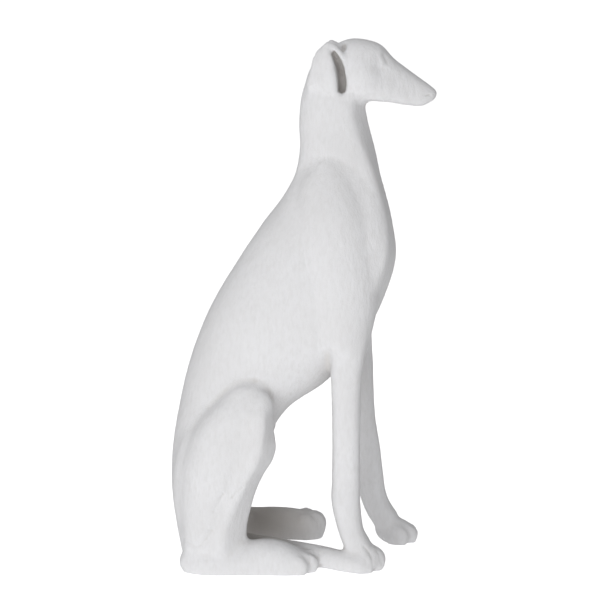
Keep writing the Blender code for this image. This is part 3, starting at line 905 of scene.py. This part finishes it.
@dataclass
class Foreleg:
    """Shoulder and foreleg down to the paw. The left one steps forward and outward.

    The gap is between the two legs' middles, and outward is how far the left paw stands out from it.
    """

    side: Side
    chest_width: float
    shoulder_share: float = 0.98
    width: float = 0.039
    gap: float = 0.110
    outward: float = 0.026

    def model(self, clay: Clay) -> None:
        """Adds the shoulder, the leg and the elbow.

        Args:
            clay: What it is added to.
        """
        stations = [
            ((3.4, 44.0), (12.9, 42.0), 5.0, 0.50), ((1.2, 50.0), (14.3, 48.0), 4.6, 0.58),
            ((-0.6, 58.0), (15.2, 55.5), 4.0, 0.64), ((-1.2, 65.5), (14.6, 62.5), 3.4, 0.64),
            ((-0.4, 71.5), (13.4, 68.5), 2.9, 0.56), ((0.6, 75.0), (11.8, 72.6), 2.5, 0.45),
            ((2.2, 77.6), (9.6, 76.0), 2.2, 0.34),
        ]
        blade = [
            (a, b, self.side.value * y, share * self.shoulder_share, 0.0, 2.1)
            for a, b, y, share in stations
        ]
        clay.add_profile(blade, self.chest_width, (2.0, 2.2))
        path = self.path()
        furthest = path[-1][1] or 1.0
        reach = self.outward / PART / furthest
        half = self.width / 2 / PART
        limb = [(x, y * (reach if y > 0 else 1), z, deep, wide * half) for x, y, z, deep, wide in path]
        clay.add_limb(limb, (2.0, 1.5), self.side, self.gap / 2, 2.6)
        clay.add_mass((path[2][0] - 1.2, self.gap / 2 / PART, 39.5), (1.9, 1.8, 3.0), (0, 10, 0), self.side)

    def path(self) -> Rows:
        """Gives the leg's path, downward.

        Returns:
            x, y, z, half depth and share of the width, in parts.
        """
        if self.side is Side.RIGHT:
            return [
                (9.4, -1.3, 53.0, 4.9, 1.05), (9.5, -0.6, 45.0, 3.7, 1.10), (9.1, -0.1, 38.0, 3.0, 1.06),
                (9.15, 0.0, 30.0, 2.75, 1.0), (9.15, 0.0, 23.0, 2.7, 0.95), (9.15, 0.0, 17.0, 2.75, 0.98),
                (9.15, 0.0, 13.4, 2.8, 1.06), (9.6, 0.0, 10.0, 2.6, 1.0), (10.35, 0.0, 6.9, 2.4, 1.0),
                (11.7, 0.0, 4.0, 2.6, 1.1),
            ]
        return [
            (8.9, -1.3, 53.0, 4.7, 1.05), (9.6, -0.6, 45.0, 3.6, 1.10), (10.5, -0.1, 37.5, 3.0, 1.06),
            (11.0, 0.3, 31.0, 2.7, 1.0), (11.5, 1.1, 25.0, 2.65, 0.95), (12.4, 1.9, 19.0, 2.65, 0.98),
            (12.9, 2.6, 13.6, 2.75, 1.06), (13.5, 3.1, 9.8, 2.65, 1.0), (14.6, 3.25, 6.8, 2.6, 1.0),
            (16.4, 3.25, 4.0, 2.6, 1.1),
        ]

    def model_paw(self, clay: Clay, toes: ToeFan, paw_width: float) -> None:
        """Adds the paw: its pad and its toes.

        Args:
            clay: What it is added to.
            toes: What lays the toes.
            paw_width: The paw's width, in metres.
        """
        out = self.gap / 2 / PART
        pad = 0.44 * paw_width / PART
        if self.side is Side.RIGHT:
            clay.add_mass((13.0, out, 2.2), (3.9, pad, 2.7), (0, 8, 0), self.side)
            toes.lay(clay, (14.3, out, 1.5), 2.55, paw_width / 4, 2.4, self.side)
        else:
            out += self.outward / PART
            clay.add_mass((17.9, out, 2.0), (4.0, pad, 2.8), (0, 10, 0), self.side)
            toes.lay(clay, (20.2, out, 1.4), 2.55, paw_width / 4, 2.3, self.side)

    def strokes(self) -> list[Stroke]:
        """Lists the crease behind the elbow and the gaps between the toes that show.

        Returns:
            The strokes.
        """
        strokes = [Stroke([(6.2, 51.0), (5.9, 44.8), (5.7, 39.5)], 0.8, 0.16, 4.0)]
        if self.side is Side.RIGHT:
            strokes += [
                Stroke([(12.8, 5.0), (14.3, 3.0), (14.7, 0.5)], 0.28, 0.16, 7.0, facing=-0.2),
                Stroke([(14.3, 5.2), (15.5, 3.5), (16.2, 1.4)], 0.28, 0.12, 5.0, facing=-0.2),
            ]
        return on_side(self.side, strokes)


@dataclass
class HindLeg:
    """Thigh, knee, shin and heel as one folded limb, and the long foot flat on the floor.

    The gap is between the two legs' middles, and foot_outward is how far the foot stands out from it.
    """

    side: Side
    thigh_width: float = 0.078
    foot_width: float = 0.052
    gap: float = 0.154
    foot_outward: float = 0.0

    def model(self, clay: Clay) -> None:
        """Adds the folded limb, the knee, the ham and the foot.

        Args:
            clay: What it is added to.
        """
        apart = self.gap / 2 / PART
        stations = [
            ((-21.6, 2.2), (-14.0, 2.6), 0.0, 0.72), ((-21.9, 7.5), (-12.9, 8.4), 0.0, 0.84),
            ((-22.2, 14.0), (-10.6, 14.4), 0.2, 1.0), ((-21.8, 20.4), (-7.7, 20.6), 0.5, 1.08),
            ((-20.0, 26.2), (-5.9, 26.4), 0.8, 1.04), ((-16.6, 31.4), (-4.9, 31.2), 1.1, 0.90),
            ((-13.2, 34.8), (-6.2, 34.7), 1.4, 0.66),
        ]
        thigh = [
            (a, b, self.side.value * (apart - inset), share, 0.0, 2.1)
            for a, b, inset, share in stations
        ]
        clay.add_profile(thigh, self.thigh_width, (1.2, 2.0))
        clay.add_mass((-7.6, apart + 0.2, 31.0), (3.0, 3.1, 4.4), (0, 24, 0), self.side)
        self.model_shin(clay, apart)
        clay.add_mass((-18.2, apart - 2.6, 17.0), (5.8, 5.2, 13.0), (5, 3, 0), self.side)
        half = self.foot_width / 2 / PART
        blunt = 1.0 if self.side is Side.LEFT else 0.0
        foot = [
            (-21.0, 0.9, 2.5, 2.2, 0.70 * half), (-19.7, 0.9, 1.8, 3.2, 0.86 * half),
            (-17.0, 1.0, 1.4, 3.8, 0.98 * half),
            (-11.0, 0.6, 1.5, 3.9, 0.95 * half), (-5.5, 0.1, 1.9, 4.3 - 0.4 * blunt, 1.0 * half),
            (-1.2, -0.4, 1.3 + 0.3 * blunt, 3.8 + 0.1 * blunt, (1.05 - 0.10 * blunt) * half),
            (0.8 + 0.6 * blunt, -0.6, 1.4 + 0.5 * blunt, 2.9 + 0.6 * blunt, (0.95 - 0.12 * blunt) * half),
        ]
        clay.add_limb(foot, (1.2, 1.2 + 1.2 * blunt), self.side, self.gap / 2 + self.foot_outward)

    def model_shin(self, clay: Clay, apart: float) -> None:
        """Adds the shin in front of the thigh, with a blunt keel. The left one's front is set back.

        Args:
            clay: What it is added to.
            apart: Half the distance between the hind legs, in parts.
        """
        set_back = 0.0 if self.side is Side.RIGHT else 1.9
        rows = [
            (-4.5, 31.2, 1.0, 3.8, 0.76), (-4.1, 27.2, 1.8, 4.4, 0.88), (-3.6, 24.2, 2.8, 4.8, 0.92),
            (-4.2, 21.8, 3.0, 4.9, 0.92), (-5.8, 19.2, 2.8, 4.9, 0.90), (-7.4, 15.8, 2.8, 4.9, 0.88),
            (-8.3, 12.6, 3.4, 5.0, 0.87), (-9.0, 9.5, 3.9, 5.2, 0.85), (-9.3, 6.0, 4.2, 5.2, 0.84),
            (-9.4, 2.5, 4.2, 5.0, 0.84),
        ]
        stations = []
        for x, z, _, deep, share in rows:
            middle = self.side.value * (apart - 0.2)
            stations.append(((x - 2 * deep, z + 0.6), (x - set_back, z), middle, share, 0.10, 4.0))
        keels = [fall / (deep - set_back / 2) for _, _, fall, deep, _ in rows]
        clay.add_profile(stations, self.thigh_width, (1.0, 1.5), 2.4, keels)

    def model_toes(self, clay: Clay, toes: ToeFan) -> None:
        """Adds the toes.

        Args:
            clay: What it is added to.
            toes: What lays the toes.
        """
        out = (self.gap / 2 + self.foot_outward) / PART
        if self.side is Side.RIGHT:
            toes.lay(clay, (1.7, out - 0.7, 1.5), 2.7, self.foot_width / 4, 2.3, self.side, 0.70)
        else:
            toes.lay(clay, (1.5, out - 0.2, 2.2), 2.7, 0.92 * self.foot_width / 4, 3.1, self.side, 0.80)

    def strokes(self) -> list[Stroke]:
        """Lists the creases over the thigh, along its muscle, above the heel and round the toes.

        Returns:
            The strokes.
        """
        strokes = [
            Stroke([(-16.4, 31.4), (-14.8, 33.6), (-12.6, 35.4), (-10.1, 36.6), (-7.9, 36.9)],
                   0.7, 0.20, 3.0, facing=-0.3),
            Stroke([(-9.8, 17.4), (-11.0, 16.3), (-11.7, 15.5)], 0.32, 0.16, 6.0),
            Stroke([(-13.4, 16.1), (-14.4, 14.3), (-15.2, 12.7)], 0.35, 0.13, 6.0),
            Stroke([(-21.6, 6.3), (-19.8, 5.8), (-18.4, 5.5), (-16.9, 7.0), (-15.7, 8.8)],
                   0.50, 0.18, 5.0, facing=-0.2),
            Stroke([(-18.2, 3.9), (-13.4, 3.6), (-8.6, 5.0), (-3.9, 6.0)], 0.8, 0.12, 6.0),
        ]
        if self.side is Side.RIGHT:
            strokes += [
                Stroke([(-15.4, 26.9), (-16.2, 21.5), (-16.6, 16.2)], 0.9, 0.16, 6.0),
                Stroke([(-1.1, 5.5), (1.5, 4.5), (2.6, 3.2), (2.6, 2.0)], 0.28, 0.14, 8.0, facing=-0.3),
                Stroke([(2.6, 5.2), (3.9, 4.4), (4.3, 3.0)], 0.25, 0.10, 6.5, facing=-0.3),
            ]
        return on_side(self.side, strokes)


@dataclass
class Tail:
    """The tail, which comes forward on the floor between the hind feet to the right forepaw."""

    diameter: float = 0.034

    def model(self, clay: Clay, tube: TailTube) -> None:
        """Adds the tail, rounded at its tip.

        Args:
            clay: What it is added to.
            tube: What draws the tail.
        """
        radius = self.diameter / 2
        rows = smooth_rows([
            (-21.0, 0.0, 2.8, 1.3), (-14.0, -0.2, 2.2, 1.1), (-6.0, -1.6, 1.8, 1.0), (0.0, -4.2, 1.8, 1.0),
            (5.0, -6.9, 1.95, 0.98), (9.4, -8.7, 1.7, 0.92), (12.2, -9.4, 1.3, 0.8),
        ], 8)
        path, radii = rows[:, :3] * PART, rows[:, 3] * radius
        ahead = (path[-1] - path[-2]) / np.linalg.norm(path[-1] - path[-2])
        tip_radius = radii[-1]
        for degrees in DOME_DEGREES:
            angle = math.radians(degrees)
            path = np.vstack([path, rows[-1, :3] * PART + ahead * tip_radius * math.sin(angle)])
            radii = np.append(radii, tip_radius * math.cos(angle))
        mesh = tube.drawn(path, radii)
        clay.add_mesh(mesh)
        bpy.data.meshes.remove(mesh)


class Pattern(Wiring):
    """The patterns of a finish, all in Object coordinates."""

    def __init__(self, coat: bpy.types.Material) -> None:
        """Works on this material's nodes."""
        super().__init__(coat.node_tree)
        self.place = self.wire("ShaderNodeTexCoord", {}).outputs["Object"]

    def noise(self, rate: float, detail: float, rough: float = 0.5, place: Socket | None = None) -> Socket:
        """Adds a noise over the surface.

        Args:
            rate: Its grains per metre.
            detail: How much finer noise it carries.
            rough: How strong that is.
            place: Where it is read, if not straight in Object coordinates.

        Returns:
            The socket with its value, from 0 to 1.
        """
        where = self.place if place is None else place
        feeds = {"Vector": where, "Scale": rate, "Detail": detail, "Roughness": rough}
        return self.wire("ShaderNodeTexNoise", feeds).outputs["Fac"]

    def ranged(self, value: Socket, low: float, high: float, to: Point) -> Socket:
        """The value from low to high, spread over to and held at its ends."""
        feeds = {"Value": value, "From Min": low, "From Max": high, "To Min": to[0], "To Max": to[1]}
        return self.wire("ShaderNodeMapRange", feeds).outputs["Result"]

    def tinted(self, colour: object, amount: Socket, tint: Triple) -> Socket:
        """The colour, blended towards the tint. A Mix node's colours are inputs 6 and 7, output 2."""
        feeds = {"Factor": amount, 6: colour, 7: (*tint, 1.0)}
        return self.wire("ShaderNodeMix", feeds, data_type="RGBA").outputs[2]


@dataclass(frozen=True)
class CastPlaster:
    """Matt white cast finish: near-white, with a warm painted shade darkening its hollows, and a fine grit.

    Rates are per metre, heights and reaches in metres, and a tint is how much of its colour shows at
    most. The painted shade colour darkens places close to other forms, as painted shade where they would
    block the light, and the skin round a spot between the hind feet, as a painted shadow.
    """

    light: Triple = (0.80, 0.80, 0.815)
    shade: Triple = (0.72, 0.715, 0.72)
    # Colour of the painted shade in the skin's hollows.
    hollow: Triple = (0.62, 0.60, 0.575)
    # Colour of the painted shade near other forms and of the painted shadow on the far hind foot.
    painted_shade: Triple = (0.46, 0.435, 0.410)
    patch_rate: float = 9.0
    fleck_rate: float = 190.0
    tint: float = 0.55
    # Reach and strength of the painted shade near other forms.
    occlusion_shade_reach: float = 0.15
    occlusion_shade_tint: float = 0.60
    # Middle, reach and strength of the painted shadow that the body casts on the far hind foot.
    between_hind_feet: Triple = (-0.07, 0.03, 0.05)
    foot_shadow_reach: Point = (0.12, 0.05)
    foot_shadow_tint: float = 0.80
    roughness: float = 0.88
    grit_rate: float = 420.0
    grit_height: float = 0.00045
    brush_rate: float = 120.0
    brush_height: float = 0.0014
    brush_slope: float = 25.0
    brush_stretch: Triple = (1.0, 1.0, 0.35)
    relief: float = 0.8

    def colour(self, pattern: Pattern, brushed: Socket) -> Socket:
        """Makes the colour.

        Args:
            pattern: What its nodes are added to.
            brushed: The coordinates that follow the brush.

        Returns:
            The socket with the colour.
        """
        patches = pattern.ranged(pattern.noise(self.patch_rate, 3.0), 0.35, 0.70, (0.0, self.tint))
        grains = pattern.noise(self.fleck_rate, 2.0, 0.6, brushed)
        flecks = pattern.ranged(grains, 0.42, 0.70, (0.0, self.tint))
        # Painted shade: darkens the skin's hollows, found by their pointiness, towards the hollow colour.
        curve = pattern.wire("ShaderNodeNewGeometry", {}).outputs["Pointiness"]
        painted_hollow_shade = pattern.ranged(curve, 0.492, 0.462, (0.0, self.tint))
        # Painted shade: darkens places that other forms close by would keep from the light, read by ambient
        # occlusion.
        openness = pattern.wire(
            "ShaderNodeAmbientOcclusion", {"Distance": self.occlusion_shade_reach}, only_local=True, samples=8
        )
        occlusion_shade = pattern.ranged(openness.outputs["AO"], 0.80, 0.15, (0.0, self.occlusion_shade_tint))
        # Painted shadow: darkens the far hind foot and the skin round the spot between the hind feet, where
        # the body's shadow falls.
        spots = {0: pattern.place, 1: self.between_hind_feet}
        away = pattern.wire("ShaderNodeVectorMath", spots, operation="DISTANCE").outputs["Value"]
        painted_foot_shadow = pattern.ranged(away, *self.foot_shadow_reach, (0.0, self.foot_shadow_tint))
        made = pattern.tinted((*self.light, 1.0), patches, self.shade)
        made = pattern.tinted(made, flecks, self.shade)
        made = pattern.tinted(made, painted_hollow_shade, self.hollow)
        made = pattern.tinted(made, occlusion_shade, self.painted_shade)
        return pattern.tinted(made, painted_foot_shadow, self.painted_shade)

    def surface(self, pattern: Pattern, brushed: Socket) -> Socket:
        """Makes the grit and the brush marks.

        Args:
            pattern: What their nodes are added to.
            brushed: The coordinates that follow the brush.

        Returns:
            The socket with the surface's normal.
        """
        grit = pattern.wire("ShaderNodeBump", {
            "Height": pattern.noise(self.grit_rate, 3.0, 0.65),
            "Distance": self.grit_height,
            "Strength": self.relief,
        })
        marks = pattern.wire("ShaderNodeBump", {
            "Height": pattern.noise(self.brush_rate, 3.0, 0.6, brushed),
            "Distance": self.brush_height,
            "Strength": self.relief,
            "Normal": grit.outputs["Normal"],
        })
        return marks.outputs["Normal"]

    def material(self) -> bpy.types.Material:
        """Builds the material.

        Returns:
            The finished material, which reads only Object coordinates and the surface itself.
        """
        coat = bpy.data.materials.new("cast_plaster")
        coat.use_nodes = True
        pattern = Pattern(coat)
        slope = (0.0, math.radians(self.brush_slope), 0.0)
        turned = {"Vector": pattern.place, "Rotation": slope, "Scale": self.brush_stretch}
        brushed = pattern.wire("ShaderNodeMapping", turned).outputs["Vector"]
        sheen = (self.roughness - 0.05, self.roughness + 0.06)
        pattern.feed(coat.node_tree.nodes["Principled BSDF"], {
            "Base Color": self.colour(pattern, brushed),
            "Roughness": pattern.ranged(pattern.noise(40.0, 2.0), 0.3, 0.7, sheen),
            "Specular IOR Level": 0.25,
            "Normal": self.surface(pattern, brushed),
        })
        return coat


@dataclass
class Greyhound:
    """The whole statue, which is one casting.

    A grain is the size of the skin's cells in metres, and a softening a number of smoothing passes.
    """

    paw_width: float = 0.050
    left_foot_outward: float = 0.017
    form_grain: float = 0.0030
    form_softening: int = 14
    detail_grain: float = 0.0030
    detail_softening: int = 3
    skin_grain: float = 0.0034
    quick_grain: float = 0.0044
    skin_softening: int = 2
    trunk: Trunk = field(default_factory=Trunk)
    head: Head = field(default_factory=Head)
    tail: Tail = field(default_factory=Tail)
    finish: CastPlaster = field(default_factory=CastPlaster)

    def __post_init__(self) -> None:
        """Makes the paired limbs and ears."""
        self.ears = [Ear(side) for side in Side]
        self.forelegs = [Foreleg(side, self.trunk.chest_width) for side in Side]
        outward = {Side.RIGHT: 0.0, Side.LEFT: self.left_foot_outward}
        self.hind_legs = [HindLeg(side, foot_outward=outward[side]) for side in Side]

    def forms(self) -> bpy.types.Mesh:
        """Builds the main forms, fused and softened.

        Returns:
            Their skin.
        """
        clay = Clay()
        self.trunk.model(clay)
        self.head.model(clay)
        for limb in (*self.forelegs, *self.hind_legs):
            limb.model(clay)
        return clay.fused("forms", self.form_grain, self.form_softening)

    def detailed(self, forms: bpy.types.Mesh) -> bpy.types.Mesh:
        """Adds ears, brows, paws and tail, cuts the ears' openings and draws the strokes.

        Args:
            forms: The main forms, which are used up.

        Returns:
            The finished skin.
        """
        clay = Clay(forms)
        toes = ToeFan()
        for ear in self.ears:
            ear.model(clay)
        self.head.model_brows(clay)
        for foreleg in self.forelegs:
            foreleg.model_paw(clay, toes, self.paw_width)
        for hind_leg in self.hind_legs:
            hind_leg.model_toes(clay, toes)
        self.tail.model(clay, TailTube())
        skin = clay.fused("skin", self.detail_grain, self.detail_softening)
        openings = Clay()
        for ear in self.ears:
            ear.hollow(openings)
        grain = self.skin_grain
        skin = Clay(openings.cut_from(skin)).fused("skin", grain, self.skin_softening)
        strokes = [stroke for ear in self.ears for stroke in ear.strokes()]
        strokes += self.trunk.strokes() + self.head.strokes()
        strokes += [stroke for limb in (*self.forelegs, *self.hind_legs) for stroke in limb.strokes()]
        tool = ModellingTool(skin)
        tool.refine(strokes)
        tool.draw(strokes)
        return skin

    def seated(self, skin: bpy.types.Mesh, low: Vector, high: Vector) -> None:
        """Cuts the soles flat at the floor and puts the skin where the solid is.

        Args:
            skin: The skin, which is changed.
            low: The solid's lowest corner.
            high: The solid's highest corner.
        """
        work = bmesh.new()
        work.from_mesh(skin)
        everything = [*work.verts, *work.edges, *work.faces]
        floor = {"plane_co": (0, 0, 0), "plane_no": (0, 0, 1)}
        cut = bmesh.ops.bisect_plane(work, geom=everything, clear_inner=True, **floor)
        rim = [item for item in cut["geom_cut"] if isinstance(item, bmesh.types.BMEdge)]
        bmesh.ops.holes_fill(work, edges=rim)
        bmesh.ops.triangulate(work, faces=work.faces)
        corners = np.array([vert.co for vert in work.verts])
        own = (corners.min(axis=0) + corners.max(axis=0)) / 2
        shift = np.array((low + high) / 2) - own
        bmesh.ops.translate(work, verts=work.verts, vec=(shift[0], shift[1], 0.0))
        work.to_mesh(skin)
        work.free()

    def build(self) -> bpy.types.Object:
        """Builds the statue over its solid.

        Returns:
            The finished piece.
        """
        skin = self.detailed(self.forms())
        self.seated(skin, *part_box("greyhound"))
        skin = HandWorkedSkin().worked(skin, self.finish.material())
        skin.name = "greyhound_cast"
        skin.shade_smooth()
        piece = placed("greyhound_cast", skin)
        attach(piece, "root")
        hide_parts("greyhound")
        log.info("%s: %d triangles", piece.name, sum(len(p.vertices) - 2 for p in skin.polygons))
        return piece


@dataclass(frozen=True)
class SoftBox:
    """One square light, with its place and size in metres and its power in watts."""

    name: str
    place: Triple
    size: float
    power: float

    def hang(self, target: Vector) -> None:
        """Hangs it so that it looks at the target.

        Args:
            target: What it looks at.
        """
        lamp = bpy.data.lights.new(self.name, "AREA")
        lamp.size = self.size
        lamp.energy = self.power
        aimed(bpy.data.objects.new(self.name, lamp), Vector(self.place), target)


@dataclass
class Studio:
    """A plain pale floor, soft light from the camera's left, and the photograph's camera.

    The azimuth is in degrees and the lens in millimetres. Distances and heights are in metres, and
    lit_height is where the lights look.
    """

    camera_azimuth: float = 5.0
    camera_distance: float = 2.6
    camera_height: float = 0.9
    aim: Triple = (-0.0026, 0.0, 0.4041)
    lens: float = 104.06
    floor_reach: float = 400.0
    floor_drop: float = 0.0004
    floor_glow: float = 0.26
    floor_seen_glow: float = 0.56
    room_light: float = 0.30
    lit_height: float = 0.4
    lights: tuple[SoftBox, ...] = (
        SoftBox("key", (-1.1, -3.0, 0.6), 1.7, 42.0),
        SoftBox("overhead", (-0.1, -0.2, 3.2), 2.6, 18.0),
        SoftBox("low_fill", (0.1, -0.95, 0.12), 0.35, 1.1),
    )

    def floor(self) -> None:
        """Lays the floor, which glows a little more where the camera sees it."""
        mesh = bpy.data.meshes.new("floor")
        far = self.floor_reach
        corners = [(-far, -far, 0), (far, -far, 0), (far, far, 0), (-far, far, 0)]
        mesh.from_pydata(corners, [], [(0, 1, 2, 3)])
        floor = placed("floor", mesh)
        floor.location.z = -self.floor_drop
        paint = bpy.data.materials.new("floor_paint")
        paint.use_nodes = True
        wiring = Wiring(paint.node_tree)
        seen = wiring.wire("ShaderNodeLightPath", {}).outputs["Is Camera Ray"]
        feeds = {0: seen, 1: self.floor_seen_glow, 2: self.floor_glow}
        glow = wiring.wire("ShaderNodeMath", feeds, operation="MULTIPLY_ADD").outputs[0]
        wiring.feed(paint.node_tree.nodes["Principled BSDF"], {
            "Base Color": (0.90, 0.90, 0.90, 1.0),
            "Roughness": 0.9,
            "Specular IOR Level": 0.1,
            "Emission Color": WHITE,
            "Emission Strength": glow,
        })
        mesh.materials.append(paint)

    def surroundings(self) -> None:
        """Sets the even light of a white room."""
        world = bpy.data.worlds.new("white_room")
        world.use_nodes = True
        bpy.context.scene.world = world
        wiring, nodes = Wiring(world.node_tree), world.node_tree.nodes
        room = nodes["Background"]
        wiring.feed(room, {"Color": WHITE, "Strength": self.room_light})
        backdrop = wiring.wire("ShaderNodeBackground", {"Color": WHITE, "Strength": 1.0})
        seen = wiring.wire("ShaderNodeLightPath", {}).outputs["Is Camera Ray"]
        feeds = {0: seen, 1: room.outputs[0], 2: backdrop.outputs[0]}
        choice = wiring.wire("ShaderNodeMixShader", feeds)
        wiring.feed(nodes["World Output"], {"Surface": choice.outputs[0]})

    def camera(self) -> None:
        """Puts the camera where the photograph was taken from."""
        azimuth = math.radians(self.camera_azimuth)
        aim = Vector(self.aim)
        place = Vector((
            aim.x + self.camera_distance * math.sin(azimuth),
            -self.camera_distance * math.cos(azimuth),
            self.camera_height,
        ))
        view = bpy.data.cameras.new("camera")
        view.sensor_width = 36.0
        view.lens = self.lens
        thing = bpy.data.objects.new("camera", view)
        aimed(thing, place, aim)
        bpy.context.scene.camera = thing

    def build(self) -> None:
        """Sets up the whole studio."""
        bpy.context.scene.view_settings.view_transform = "Standard"
        self.floor()
        self.surroundings()
        for light in self.lights:
            light.hang(Vector((0.0, 0.0, self.lit_height)))
        self.camera()
        log.info("studio: floor, lights and camera")


def main() -> None:
    """Builds the statue and its studio."""
    logging.basicConfig(level=logging.INFO, format="%(message)s")
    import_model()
    bpy.context.view_layer.update()
    Greyhound().build()
    Studio().build()
    bpy.context.view_layer.update()


if __name__ == "__main__":
    main()
